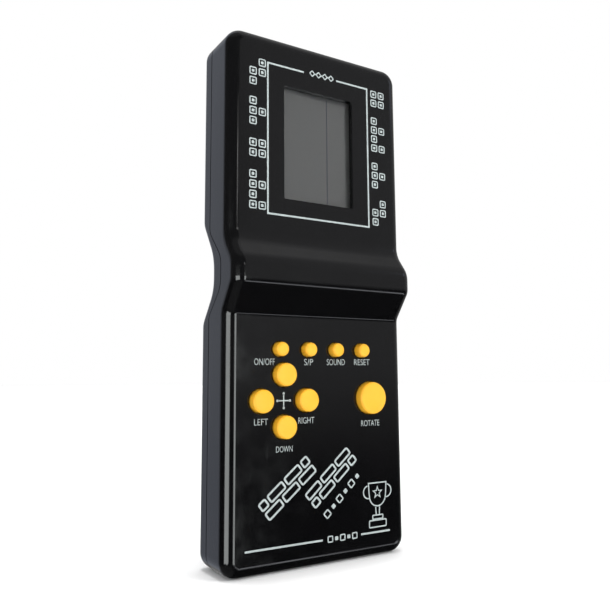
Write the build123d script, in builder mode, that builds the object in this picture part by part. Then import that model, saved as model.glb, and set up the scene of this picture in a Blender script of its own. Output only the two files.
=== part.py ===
from build123d import *

import os
from math import radians, tan

# Handheld LCD game, standing upright: +Z up along the case, the face towards -Y, +X to the right
# as seen from the front.  The origin is under the middle of the case, on the surface it stands on.
# Depths are measured from the flat back of the case towards the face.

os.makedirs("parts", exist_ok=True)

# ---- driving dimensions, millimetres ----
CASE_H = 186.4
TOP_W = 73.4
BOTTOM_W = 74.6
CORNER_R = 6.0
WALL = 2.0
LOWER_DEPTH = 21.0
UPPER_DEPTH = 22.0
CREST_DEPTH = 28.1
RECESS_DEPTH = 8.9
FRONT_ROUND = 4.0
BACK_ROUND = 3.0
SEAM_DEPTH = 7.3
SEAM_RISE = 9.6
SEAM_GAP = 0.5
GROOVE = 0.45
LIP_H = 1.2
LIP_W = 1.0
BACK_Y = CREST_DEPTH / 2
BACK_FAR = -20.0
FRONT_FAR = 50.0
WAIST_Z = 90.0
OVERCUT = 1.0
ROOT = 0.5

WINDOW_X = -0.3
WINDOW_Z = 148.05
WINDOW_W = 29.6
WINDOW_H = 41.5
WINDOW_CORNER_R = 0.5

PAD_X = -15.1
PAD_Z = 56.85
PAD_STEP = 8.85
PAD_KEY_R = 3.95
ROTATE_R = 5.8
ROTATE_X = 21.45
ROTATE_Z = PAD_Z + 0.2
ROW_Z = 74.4
ROW_STEP = 11.4
ROW_FIRST_X = -16.6
ROW_KEY_R = 2.45
KEY_TOP = LOWER_DEPTH + 2.95
KEY_GAP = 0.25
KEY_HOLE_RIM = 0.3
KEY_EDGE = 0.8
ROTATE_EDGE = 0.9
ROW_EDGE = 1.0
FLANGE_T = 1.0
FLANGE_LIP = 0.9
FLANGE_FRONT = LOWER_DEPTH - WALL - 0.1
FLANGE_BACK = FLANGE_FRONT - FLANGE_T

BOARD_BACK = 13.8
BOARD_T = 1.2
BOARD_FRONT = BOARD_BACK + BOARD_T
BOARD_W = 55.6
BOARD_Z0 = 40.5
BOARD_Z1 = 178.5
POST_X = 25.2
POST_ZS = (44.0, 115.5, 174.5)
POST_R = 2.2
POST_BOLT_R = 0.85
POST_PILOT = 3.4

BOSS_X = 31.3
BOSS_ZS = (47.0, 123.0, 177.0)
BOSS_R = 3.3
BOSS_SPLIT = 9.0
SCREW_R = 1.0
SCREW_HEAD_R = 2.1
SCREW_SEAT = 4.8
SCREW_PILOT = 7.0
THREAD_GAP = 0.02
SHANK_GAP = 0.2
HEAD_GAP = 0.3

GLASS_W = 38.0
GLASS_H = 52.0
LENS_T = 0.8
LENS_GAP = 0.2
FILM_T = 0.2
FILM_W = 35.0
FILM_H = 46.0
ZEBRA_H = 2.0
ZEBRA_T = 2.2
GLASS_SLACK = 0.3
HOLDER_W = 45.2
HOLDER_H = 57.0
SHEET_CORNER_R = 1.5

CELL_R = 7.1
CELL_L = 50.5
CELL_DEPTH = 9.2
CELL_ZS = (15.0, 29.8)
BAY_W = 56.4
BAY_Z0 = 7.5
BAY_Z1 = 37.4
BAY_FRONT = 16.8
BAY_WALL = 1.2
DOOR_GAP = 0.2
DOOR_T = 1.6
DOOR_AXIS_DEPTH = DOOR_T / 2
DOOR_AXIS_Z = BAY_Z0 + DOOR_GAP + DOOR_T / 2
HOOK_XS = (-17.0, 17.0)
HOOK_W = 6.0
HOOK_SLOT_D = 3.0
TAB_DEPTH = 13.3
TAB_W = 2.6
TAB_T = 0.5
SCOOP_R = 7.0
SCOOP_DEPTH = 2.1

BUZZER_X = 0.0
BUZZER_Z = 62.0
BUZZER_R = 10.0
BUZZER_T = 0.3
BUZZER_SEAT = WALL + 1.2
BUZZER_RING = 1.4
BUZZER_LEDGE = 1.2
CERAMIC_R = 7.0
SOUND_HOLE_R = 0.8
SOUND_RING_R = 4.2


def layer(depth):
    """Plane parallel to the face at a depth, its normal towards the face and its y along +Z."""
    return Plane.XZ.offset(depth - BACK_Y)


def at(x, z, depth):
    """Point of the case's frame at a depth."""
    return Vector(x, BACK_Y - depth, z)


def facing(x, z, depth):
    """Plane like layer(), with its origin on the point."""
    return Plane(origin=at(x, z, depth), x_dir=(1, 0, 0), z_dir=(0, -1, 0))


def finish(builder, name):
    """Label one sub-part and write it."""
    builder.part.label = name
    export_step(builder.part, f"parts/{name}.step")


def outline_face(inset=0.0):
    """Front view of the case: a tall rounded rectangle, slightly wider at the lower end."""
    with BuildSketch() as face:
        with BuildLine():
            FilletPolyline(
                (-BOTTOM_W / 2, 0),
                (BOTTOM_W / 2, 0),
                (TOP_W / 2, CASE_H),
                (-TOP_W / 2, CASE_H),
                radius=CORNER_R,
                close=True,
            )
        make_face()
        if inset:
            offset(amount=-inset)
    return face.sketch


def profile_face(inset=0.0):
    """Side view of the case: two flat halves joined by one wave towards the face."""
    with BuildSketch() as face:
        with BuildLine():
            FilletPolyline(
                (BACK_Y, 0),
                (BACK_Y, 84.3),
                (BACK_Y - RECESS_DEPTH, 95.2),
                (BACK_Y - RECESS_DEPTH, 105.5),
                (BACK_Y, 118.6),
                (BACK_Y, CASE_H),
                (BACK_Y - UPPER_DEPTH, CASE_H),
                (BACK_Y - UPPER_DEPTH, 112.0),
                (BACK_Y - CREST_DEPTH, 103.9),
                (BACK_Y - CREST_DEPTH, 96.0),
                (BACK_Y - LOWER_DEPTH, 86.2),
                (BACK_Y - LOWER_DEPTH, 0),
                radius=[0, 6, 10, 14, 6, 0, 0, 9, 8, 5, 2.5, 0],
                close=True,
            )
        make_face()
        if inset:
            offset(amount=-inset)
    return face.sketch


def rim_edges(builder, front):
    """Edges round the front or the back of the case form."""
    rim = ShapeList()
    for edge in builder.edges():
        middle = edge.position_at(0.5)
        heading = edge.tangent_at(0.5)
        across = abs(heading.X) > 0.99 and CORNER_R < middle.Z < CASE_H - CORNER_R
        deep = abs(heading.Y) > 0.99
        in_front = BACK_Y - middle.Y > LOWER_DEPTH - FRONT_ROUND - BACK_ROUND
        if not across and not deep and in_front == front:
            rim.append(edge)
    return rim


def case_form(inset, front_round, back_round):
    """Closed form of the case, inset all round."""
    with BuildPart() as form:
        with BuildSketch(layer(BACK_FAR)):
            add(outline_face(inset))
        extrude(amount=FRONT_FAR - BACK_FAR)
        with BuildSketch(Plane.YZ):
            add(profile_face(inset))
        extrude(amount=BOTTOM_W, both=True, mode=Mode.INTERSECT)
        fillet(rim_edges(form, True), front_round)
        fillet(rim_edges(form, False), back_round)
    return form.part


def seam_side(shift, far_depth):
    """Everything on one side of the wavy parting surface, moved forward by shift."""
    near = BACK_Y - SEAM_DEPTH - shift
    crest = near - SEAM_RISE
    far = BACK_Y - far_depth
    top = CASE_H + WALL
    with BuildPart() as side:
        with BuildSketch(Plane.YZ):
            with BuildLine():
                FilletPolyline(
                    (near, -WALL),
                    (near, 85.8),
                    (crest, 95.2),
                    (crest, 105.5),
                    (near, 115.3),
                    (near, top),
                    radius=[3, 7, 7, 5],
                )
                Polyline((near, top), (far, top), (far, -WALL), (near, -WALL))
            make_face()
        extrude(amount=BOTTOM_W, both=True)
    return side.part


def seam_ring(inner, outer, shift_front, shift_back):
    """Band of the case wall along the parting surface, between two insets."""
    with BuildPart() as ring:
        with BuildSketch(layer(BACK_FAR)):
            add(outline_face(outer))
            add(outline_face(inner), mode=Mode.SUBTRACT)
        extrude(amount=FRONT_FAR - BACK_FAR)
        add(seam_side(shift_front, BACK_FAR), mode=Mode.INTERSECT)
        add(seam_side(shift_back, FRONT_FAR), mode=Mode.INTERSECT)
    return ring.part


def boss_points():
    """Places of the screws that hold the two halves of the case."""
    return [(side * BOSS_X, z) for z in BOSS_ZS for side in (-1, 1)]


def post_points():
    """Places of the screws that hold the circuit board."""
    return [(side * POST_X, z) for z in POST_ZS for side in (-1, 1)]


def key_table():
    """Name, x, z, radius and edge rounding of each key."""
    keys = [
        ("key_up", PAD_X, PAD_Z + PAD_STEP, PAD_KEY_R, KEY_EDGE),
        ("key_left", PAD_X - PAD_STEP, PAD_Z, PAD_KEY_R, KEY_EDGE),
        ("key_right", PAD_X + PAD_STEP, PAD_Z, PAD_KEY_R, KEY_EDGE),
        ("key_down", PAD_X, PAD_Z - PAD_STEP, PAD_KEY_R, KEY_EDGE),
        ("key_rotate", ROTATE_X, ROTATE_Z, ROTATE_R, ROTATE_EDGE),
    ]
    row = ("key_power", "key_start_pause", "key_sound", "key_reset")
    for index, name in enumerate(row):
        keys.append((name, ROW_FIRST_X + index * ROW_STEP, ROW_Z, ROW_KEY_R, ROW_EDGE))
    return keys


KEYS = key_table()
outer_form = case_form(0, FRONT_ROUND, BACK_ROUND)
inner_form = case_form(WALL, FRONT_ROUND - WALL, BACK_ROUND - WALL)
lip = seam_ring(WALL, LIP_W, LIP_H, 0)
groove = seam_ring(GROOVE, -1.0, SEAM_GAP / 2, -SEAM_GAP / 2)


# ---- front shell: panels, window, key holes, screw bosses and board posts ----
with BuildPart() as front_shell:
    add(outer_form)
    add(inner_form, mode=Mode.SUBTRACT)
    add(seam_side(0, FRONT_FAR), mode=Mode.INTERSECT)
    add(lip, mode=Mode.SUBTRACT)
    add(groove, mode=Mode.SUBTRACT)
    with BuildSketch(layer(UPPER_DEPTH - WALL - OVERCUT)):
        with Locations((WINDOW_X, WINDOW_Z)):
            RectangleRounded(WINDOW_W, WINDOW_H, WINDOW_CORNER_R)
    extrude(amount=WALL + 2 * OVERCUT, mode=Mode.SUBTRACT)
    with BuildSketch(layer(LOWER_DEPTH - WALL - OVERCUT)):
        for name, x, z, radius, edge_round in KEYS:
            with Locations((x, z)):
                Circle(radius + KEY_GAP)
    extrude(amount=WALL + 2 * OVERCUT, mode=Mode.SUBTRACT)
    hole_rims = front_shell.edges().filter_by(GeomType.CIRCLE).filter_by(
        lambda edge: abs(edge.position_at(0).Y - (BACK_Y - LOWER_DEPTH)) < 0.01
    )
    fillet(hole_rims, KEY_HOLE_RIM)
    for x, z in boss_points():
        roof = (LOWER_DEPTH if z < WAIST_Z else UPPER_DEPTH) - WALL
        with BuildSketch(facing(x, z, BOSS_SPLIT)):
            Circle(BOSS_R)
        extrude(amount=roof - BOSS_SPLIT + ROOT)
        with BuildSketch(facing(x, z, BOSS_SPLIT)):
            Circle(SCREW_R + THREAD_GAP)
        extrude(amount=SCREW_PILOT, mode=Mode.SUBTRACT)
    for x, z in post_points():
        roof = (LOWER_DEPTH if z < WAIST_Z else UPPER_DEPTH) - WALL
        with BuildSketch(facing(x, z, BOARD_FRONT)):
            Circle(POST_R)
        extrude(amount=roof - BOARD_FRONT + ROOT)
        with BuildSketch(facing(x, z, BOARD_FRONT)):
            Circle(POST_BOLT_R + THREAD_GAP)
        extrude(amount=POST_PILOT, mode=Mode.SUBTRACT)
finish(front_shell, "front_shell")


# ---- rear shell: back wall, battery bay, screw bosses, sound holes and buzzer seat ----
with BuildPart() as rear_shell:
    add(outer_form)
    add(inner_form, mode=Mode.SUBTRACT)
    add(seam_side(0, BACK_FAR), mode=Mode.INTERSECT)
    add(lip)
    add(groove, mode=Mode.SUBTRACT)
    bay_mid = (BAY_Z0 + BAY_Z1) / 2
    bay_h = BAY_Z1 - BAY_Z0
    with BuildSketch(layer(WALL - ROOT)):
        with Locations((0, bay_mid)):
            Rectangle(BAY_W + 2 * BAY_WALL, bay_h + 2 * BAY_WALL)
    extrude(amount=BAY_FRONT + BAY_WALL - WALL + ROOT)
    with BuildSketch(layer(-OVERCUT)):
        with Locations((0, bay_mid)):
            Rectangle(BAY_W, bay_h)
    extrude(amount=BAY_FRONT + OVERCUT, mode=Mode.SUBTRACT)
    # slots for the two hooks of the battery door, and for the solder tabs of the contacts
    with BuildSketch(Plane.XY.offset(BAY_Z0 - BAY_WALL - ROOT)):
        for x in HOOK_XS:
            with Locations((x, BACK_Y - WALL - HOOK_SLOT_D / 2)):
                Rectangle(HOOK_W + 3 * DOOR_GAP, HOOK_SLOT_D)
    extrude(amount=BAY_WALL + 2 * ROOT, mode=Mode.SUBTRACT)
    with BuildSketch(Plane.YZ.offset(BAY_W / 2 - OVERCUT)):
        for z in CELL_ZS:
            with Locations((BACK_Y - TAB_DEPTH, z)):
                Rectangle(2 * TAB_T, TAB_W + 2 * DOOR_GAP)
    extrude(amount=BAY_WALL + 2 * OVERCUT, mode=Mode.SUBTRACT)
    # shallow finger scoop above the door's tongue
    with BuildSketch(layer(-OVERCUT)):
        with Locations((0, BAY_Z1)):
            Circle(SCOOP_R)
            Rectangle(2 * SCOOP_R, SCOOP_R, align=(Align.CENTER, Align.MAX), mode=Mode.SUBTRACT)
    extrude(amount=SCOOP_DEPTH, mode=Mode.SUBTRACT)
    for x, z in boss_points():
        with BuildSketch(facing(x, z, WALL - ROOT)):
            Circle(BOSS_R)
        extrude(amount=BOSS_SPLIT - WALL + ROOT)
        with BuildSketch(facing(x, z, -OVERCUT)):
            Circle(SCREW_HEAD_R + HEAD_GAP)
        extrude(amount=SCREW_SEAT + OVERCUT, mode=Mode.SUBTRACT)
        with BuildSketch(facing(x, z, SCREW_SEAT - ROOT)):
            Circle(SCREW_R + SHANK_GAP)
        extrude(amount=BOSS_SPLIT - SCREW_SEAT + 2 * ROOT, mode=Mode.SUBTRACT)
    with BuildSketch(facing(BUZZER_X, BUZZER_Z, WALL - ROOT)):
        Circle(BUZZER_R + BUZZER_RING)
        Circle(BUZZER_R - BUZZER_LEDGE, mode=Mode.SUBTRACT)
    extrude(amount=BUZZER_SEAT + BUZZER_RING - WALL)
    with BuildSketch(facing(BUZZER_X, BUZZER_Z, BUZZER_SEAT)):
        Circle(BUZZER_R + SHANK_GAP / 2)
    extrude(amount=BUZZER_SEAT, mode=Mode.SUBTRACT)
    with BuildSketch(facing(BUZZER_X, BUZZER_Z, -OVERCUT)):
        Circle(SOUND_HOLE_R)
        with PolarLocations(SOUND_RING_R, 6):
            Circle(SOUND_HOLE_R)
    extrude(amount=WALL + 2 * OVERCUT, mode=Mode.SUBTRACT)
finish(rear_shell, "rear_shell")


# ---- battery door: flush plate with a rounded lower edge, two hooks and a spring tongue ----
DOOR_W = BAY_W - 2 * DOOR_GAP
DOOR_TOP = BAY_Z1 - DOOR_GAP
HOOK_FACE = DOOR_T - 0.3
HOOK_BACK = 2.3
HOOK_FRONT = 3.2
HOOK_REACH = 2.5
TONGUE_W = 14.0
TONGUE_H = 10.0
TONGUE_SLIT = 0.8
GRIP_PITCH = 2.0
GRIP_DEPTH = 0.4
CATCH_W = 8.0
CATCH_H = 1.2
CATCH_T = 1.4
RIB_STEP = 24.0
RIB_W = 1.2
RIB_H = 5.0

with BuildPart() as battery_door:
    with BuildSketch(layer(0)):
        with Locations((0, (DOOR_AXIS_Z + DOOR_TOP) / 2)):
            Rectangle(DOOR_W, DOOR_TOP - DOOR_AXIS_Z)
    extrude(amount=DOOR_T)
    with BuildSketch(Plane.YZ.offset(-DOOR_W / 2)):
        with Locations((BACK_Y - DOOR_AXIS_DEPTH, DOOR_AXIS_Z)):
            Circle(DOOR_T / 2)
    extrude(amount=DOOR_W)
    for x in HOOK_XS:
        with BuildSketch(Plane.YZ.offset(x - HOOK_W / 2)):
            with BuildLine():
                Polyline(
                    (BACK_Y - HOOK_FACE, DOOR_AXIS_Z + 3 * DOOR_AXIS_DEPTH),
                    (BACK_Y - HOOK_FRONT, DOOR_AXIS_Z + DOOR_AXIS_DEPTH),
                    (BACK_Y - HOOK_FRONT, DOOR_AXIS_Z - HOOK_REACH),
                    (BACK_Y - HOOK_BACK, DOOR_AXIS_Z - HOOK_REACH),
                    (BACK_Y - HOOK_BACK, DOOR_AXIS_Z - DOOR_AXIS_DEPTH),
                    (BACK_Y - HOOK_FACE, DOOR_AXIS_Z),
                    close=True,
                )
            make_face()
        extrude(amount=HOOK_W)
    with BuildSketch(layer(-ROOT)):
        with Locations((0, DOOR_TOP - TONGUE_H / 2)):
            with GridLocations(TONGUE_W, 0, 2, 1):
                Rectangle(TONGUE_SLIT, TONGUE_H)
    extrude(amount=DOOR_T + 2 * ROOT, mode=Mode.SUBTRACT)
    with BuildSketch(layer(-ROOT)):
        with Locations((0, DOOR_TOP - TONGUE_H / 2)):
            with GridLocations(0, GRIP_PITCH, 1, 4):
                Rectangle(CATCH_W + 1, TONGUE_SLIT)
    extrude(amount=ROOT + GRIP_DEPTH, mode=Mode.SUBTRACT)
    with BuildSketch(layer(DOOR_T)):
        with Locations((0, DOOR_TOP - CATCH_H)):
            Rectangle(CATCH_W, CATCH_H)
    extrude(amount=CATCH_T)
    # two ribs that press the cells into their bay
    with BuildSketch(layer(DOOR_T - DOOR_GAP)):
        with Locations((0, (CELL_ZS[0] + CELL_ZS[1]) / 2)):
            with GridLocations(RIB_STEP, 0, 2, 1):
                Rectangle(RIB_W, RIB_H)
    extrude(amount=DOOR_T)
finish(battery_door, "battery_door")


# ---- display stack ----
with BuildPart() as display_window:
    with BuildSketch(layer(UPPER_DEPTH - WALL - LENS_T)):
        with Locations((WINDOW_X, WINDOW_Z)):
            RectangleRounded(HOLDER_W, HOLDER_H, SHEET_CORNER_R)
    extrude(amount=LENS_T)
finish(display_window, "display_window")

GLASS_FRONT = UPPER_DEPTH - WALL - LENS_T - LENS_GAP - FILM_T
GLASS_BACK = BOARD_FRONT + ZEBRA_H

with BuildPart() as front_polarizer:
    with BuildSketch(layer(GLASS_FRONT)):
        with Locations((WINDOW_X, WINDOW_Z)):
            Rectangle(FILM_W, FILM_H)
    extrude(amount=FILM_T)
finish(front_polarizer, "front_polarizer")

with BuildPart() as lcd_glass:
    with BuildSketch(layer(GLASS_BACK)):
        with Locations((WINDOW_X, WINDOW_Z)):
            Rectangle(GLASS_W, GLASS_H)
    extrude(amount=GLASS_FRONT - GLASS_BACK)
finish(lcd_glass, "lcd_glass")

with BuildPart() as lcd_reflector:
    with BuildSketch(layer(GLASS_BACK - FILM_T)):
        with Locations((WINDOW_X, WINDOW_Z)):
            Rectangle(FILM_W, FILM_H)
    extrude(amount=FILM_T)
finish(lcd_reflector, "lcd_reflector")

with BuildPart() as zebra_strips:
    with BuildSketch(layer(BOARD_FRONT)):
        with Locations((WINDOW_X, WINDOW_Z)):
            with GridLocations(0, GLASS_H - ZEBRA_T, 1, 2):
                Rectangle(FILM_W, ZEBRA_T)
    extrude(amount=GLASS_BACK - BOARD_FRONT)
finish(zebra_strips, "zebra_strips")

with BuildPart() as lcd_holder:
    with BuildSketch(layer(BOARD_FRONT)):
        with Locations((WINDOW_X, WINDOW_Z)):
            Rectangle(HOLDER_W, HOLDER_H)
            Rectangle(GLASS_W + GLASS_SLACK, GLASS_H + GLASS_SLACK, mode=Mode.SUBTRACT)
    extrude(amount=UPPER_DEPTH - WALL - LENS_T - BOARD_FRONT)
finish(lcd_holder, "lcd_holder")


# ---- circuit board and what is soldered to its back ----
BLOB_Z = 138.0
BLOB_R = 6.0
BLOB_H = 1.5
BLOB_ROUND = 1.3
CAN_X = 14.0
CAN_Z = 70.0
CAN_R = 2.5
CAN_L = 7.5
CAN_ROUND = 0.4
DISC_PLACES = ((-18, 92), (-10, 150), (16, 158))
DISC_R = 2.4
DISC_T = 1.6
RESISTOR_PLACES = ((-19, 76), (-19, 80), (18, 128), (18, 132), (18, 136))
RESISTOR_R = 0.9
RESISTOR_L = 6.4
TRANSISTOR_X = 2.0
TRANSISTOR_Z = 84.0
TRANSISTOR_R = 2.3
TRANSISTOR_FLAT = 1.3
TRANSISTOR_H = 4.5
LEG_GAP = 0.1

with BuildPart() as circuit_board:
    with BuildSketch(layer(BOARD_BACK)):
        with Locations((0, (BOARD_Z0 + BOARD_Z1) / 2)):
            RectangleRounded(BOARD_W, BOARD_Z1 - BOARD_Z0, SHEET_CORNER_R)
        with Locations(*post_points()):
            Circle(POST_BOLT_R + HEAD_GAP, mode=Mode.SUBTRACT)
    extrude(amount=BOARD_T)
finish(circuit_board, "circuit_board")

with BuildPart() as chip_blob:
    with BuildSketch(facing(0, BLOB_Z, BOARD_BACK - BLOB_H)):
        Circle(BLOB_R)
    extrude(amount=BLOB_H)
    fillet(chip_blob.faces().sort_by(Axis.Y)[-1].edges(), BLOB_ROUND)
finish(chip_blob, "chip_blob")

with BuildPart() as electrolytic_capacitor:
    with BuildSketch(Plane.XY.offset(CAN_Z)):
        with Locations((CAN_X, BACK_Y - BOARD_BACK + CAN_R + LEG_GAP)):
            Circle(CAN_R)
    extrude(amount=CAN_L)
    fillet(electrolytic_capacitor.edges().filter_by(GeomType.CIRCLE), CAN_ROUND)
finish(electrolytic_capacitor, "electrolytic_capacitor")

with BuildPart() as ceramic_capacitors:
    for x, z in DISC_PLACES:
        with BuildSketch(facing(x, z, BOARD_BACK - LEG_GAP - DISC_T)):
            Circle(DISC_R)
        extrude(amount=DISC_T)
finish(ceramic_capacitors, "ceramic_capacitors")

with BuildPart() as resistors:
    for x, z in RESISTOR_PLACES:
        with BuildSketch(Plane.YZ.offset(x - RESISTOR_L / 2)):
            with Locations((BACK_Y - BOARD_BACK + RESISTOR_R + LEG_GAP, z)):
                Circle(RESISTOR_R)
        extrude(amount=RESISTOR_L)
finish(resistors, "resistors")

with BuildPart() as buzzer_transistor:
    with BuildSketch(Plane.XY.offset(TRANSISTOR_Z)):
        with Locations((TRANSISTOR_X, BACK_Y - BOARD_BACK + TRANSISTOR_FLAT + 5 * LEG_GAP)):
            Circle(TRANSISTOR_R)
            with Locations((0, -TRANSISTOR_FLAT)):
                width = 2 * TRANSISTOR_R
                Rectangle(width, width, align=(Align.CENTER, Align.MAX), mode=Mode.SUBTRACT)
    extrude(amount=TRANSISTOR_H)
finish(buzzer_transistor, "buzzer_transistor")


# ---- keypad: silicone mat with one dome under each key, carbon pills, keys ----
DOME_TOP = FLANGE_BACK - 0.05
MAT_T = 0.7
MAT_X = 2.6
MAT_Z = 60.9
MAT_W = 49.8
MAT_H = 37.6
NOTCH_X = 18.0
NOTCH_Z = 43.0
NOTCH_W = 30.0
NOTCH_H = 13.0
DOME_FOOT = 0.1
DOME_STEP = 0.7
DOME_WALL = 1.2
PILL_BACK = BOARD_FRONT + 1.15
PILL_T = 0.7
PILL_STEP = 1.35
CROWN = 0.05

with BuildPart() as keypad_mat:
    with BuildSketch(layer(BOARD_FRONT)):
        with Locations((MAT_X, MAT_Z)):
            RectangleRounded(MAT_W, MAT_H, SHEET_CORNER_R)
        with Locations((NOTCH_X, NOTCH_Z)):
            Rectangle(NOTCH_W, NOTCH_H, mode=Mode.SUBTRACT)
    extrude(amount=MAT_T)
    for name, x, z, radius, edge_round in KEYS:
        with BuildSketch(facing(x, z, BOARD_FRONT + MAT_T / 2)):
            Circle(radius + DOME_FOOT)
        with BuildSketch(facing(x, z, DOME_TOP)):
            Circle(radius - DOME_STEP)
        loft()
        with BuildSketch(facing(x, z, BOARD_FRONT - ROOT)):
            Circle(radius - DOME_STEP)
        with BuildSketch(facing(x, z, PILL_BACK + PILL_T)):
            Circle(radius - DOME_WALL)
        loft(mode=Mode.SUBTRACT)
finish(keypad_mat, "keypad_mat")

with BuildPart() as carbon_pills:
    for name, x, z, radius, edge_round in KEYS:
        with BuildSketch(facing(x, z, PILL_BACK)):
            Circle(radius - PILL_STEP)
        extrude(amount=PILL_T)
finish(carbon_pills, "carbon_pills")

for name, x, z, radius, edge_round in KEYS:
    crown = CROWN * radius
    shoulder = KEY_TOP - crown
    with BuildPart() as key:
        with BuildSketch(Plane(origin=at(x, z, 0))):
            with BuildLine():
                Polyline(
                    (0, -KEY_TOP),
                    (0, -FLANGE_BACK),
                    (radius + FLANGE_LIP, -FLANGE_BACK),
                    (radius + FLANGE_LIP, -FLANGE_FRONT),
                    (radius, -FLANGE_FRONT),
                    (radius, -shoulder),
                )
                ThreePointArc((radius, -shoulder), (radius / 2, -KEY_TOP + crown / 4), (0, -KEY_TOP))
            make_face()
        revolve(axis=Axis(at(x, z, 0), (0, 1, 0)))
        rim = key.edges().filter_by(GeomType.CIRCLE).filter_by(
            lambda edge: abs(edge.position_at(0).Y - (BACK_Y - shoulder)) < 0.01
        )
        fillet(rim, edge_round)
    finish(key, name)


# ---- buzzer: brass plate with a ceramic disc ----
with BuildPart() as piezo_plate:
    with BuildSketch(facing(BUZZER_X, BUZZER_Z, BUZZER_SEAT)):
        Circle(BUZZER_R)
    extrude(amount=BUZZER_T)
finish(piezo_plate, "piezo_plate")

with BuildPart() as piezo_ceramic:
    with BuildSketch(facing(BUZZER_X, BUZZER_Z, BUZZER_SEAT + BUZZER_T)):
        Circle(CERAMIC_R)
    extrude(amount=BUZZER_T)
finish(piezo_ceramic, "piezo_ceramic")


# ---- batteries: two AA cells side by side, pointing opposite ways ----
CONTACT_T = 0.4
DIMPLE_H = 1.0
DIMPLE_R = 2.6
DIMPLE_TAPER = 25
TAB_REACH = 1.0
BAY_END = BAY_W / 2
CELL_TIP = BAY_END - CONTACT_T - DIMPLE_H
SPRING_WIRE_R = 0.3
SPRING_R = 3.2
SPRING_TURNS = 3
SPRING_SLACK = 0.05
TIP_H = 1.0
TIP_R = 2.75
CELL_ROUND = 0.5
PLATE_W = 10.0
PLATE_H = 11.0
BRIDGE_H = 26.0

for name, z, side in (("battery_lower", CELL_ZS[0], 1), ("battery_upper", CELL_ZS[1], -1)):
    with BuildPart() as cell:
        foot = at(side * (CELL_TIP - CELL_L), z, CELL_DEPTH)
        base = Plane(origin=foot, x_dir=(0, 1, 0), z_dir=(side, 0, 0))
        with BuildSketch(base):
            Circle(CELL_R)
        extrude(amount=CELL_L - TIP_H)
        fillet(cell.edges().filter_by(GeomType.CIRCLE), CELL_ROUND)
        with BuildSketch(base.offset(CELL_L - TIP_H)):
            Circle(TIP_R)
        extrude(amount=TIP_H)
    finish(cell, name)

with BuildPart() as battery_springs:
    for z, side in zip(CELL_ZS, (-1, 1)):
        foot = at(side * (BAY_END - CONTACT_T - SPRING_WIRE_R - SPRING_SLACK), z, CELL_DEPTH)
        height = BAY_END - CONTACT_T + CELL_TIP - CELL_L - 2 * (SPRING_WIRE_R + SPRING_SLACK)
        with BuildLine() as coil:
            Helix(height / SPRING_TURNS, height, SPRING_R, center=foot, direction=(-side, 0, 0))
        with BuildSketch(Plane(origin=coil.line @ 0, z_dir=coil.line % 0)):
            Circle(SPRING_WIRE_R)
        sweep(path=coil.line, is_frenet=True)
finish(battery_springs, "battery_springs")


def contact_plate(side, z, height):
    """Plate against one end wall of the battery bay."""
    with BuildPart() as plate:
        with BuildSketch(Plane.YZ.offset(side * BAY_END)):
            with Locations((BACK_Y - CELL_DEPTH, z)):
                Rectangle(PLATE_W, height)
        extrude(amount=-side * CONTACT_T)
    return plate.part


def contact_dimple(side, z):
    """Raised round spot that meets a cell's tip."""
    inward = Plane(origin=at(side * (BAY_END - CONTACT_T), z, CELL_DEPTH), z_dir=(-side, 0, 0))
    with BuildPart() as dimple:
        with BuildSketch(inward):
            Circle(DIMPLE_R)
        extrude(amount=DIMPLE_H, taper=DIMPLE_TAPER)
    return dimple.part


def solder_tab(z):
    """Tab through the bay's wall, where a lead is soldered."""
    with BuildPart() as tab:
        with BuildSketch(Plane.YZ.offset(BAY_END - CONTACT_T)):
            with Locations((BACK_Y - TAB_DEPTH, z)):
                Rectangle(TAB_T, TAB_W)
        extrude(amount=CONTACT_T + BAY_WALL + TAB_REACH)
    return tab.part


with BuildPart() as battery_bridge:
    add(contact_plate(-1, (CELL_ZS[0] + CELL_ZS[1]) / 2, BRIDGE_H))
    add(contact_dimple(-1, CELL_ZS[1]))
finish(battery_bridge, "battery_bridge")

with BuildPart() as positive_contact:
    add(contact_plate(1, CELL_ZS[0], PLATE_H))
    add(contact_dimple(1, CELL_ZS[0]))
    add(solder_tab(CELL_ZS[0]))
finish(positive_contact, "positive_contact")

with BuildPart() as negative_contact:
    add(contact_plate(1, CELL_ZS[1], PLATE_H))
    add(solder_tab(CELL_ZS[1]))
finish(negative_contact, "negative_contact")


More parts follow.
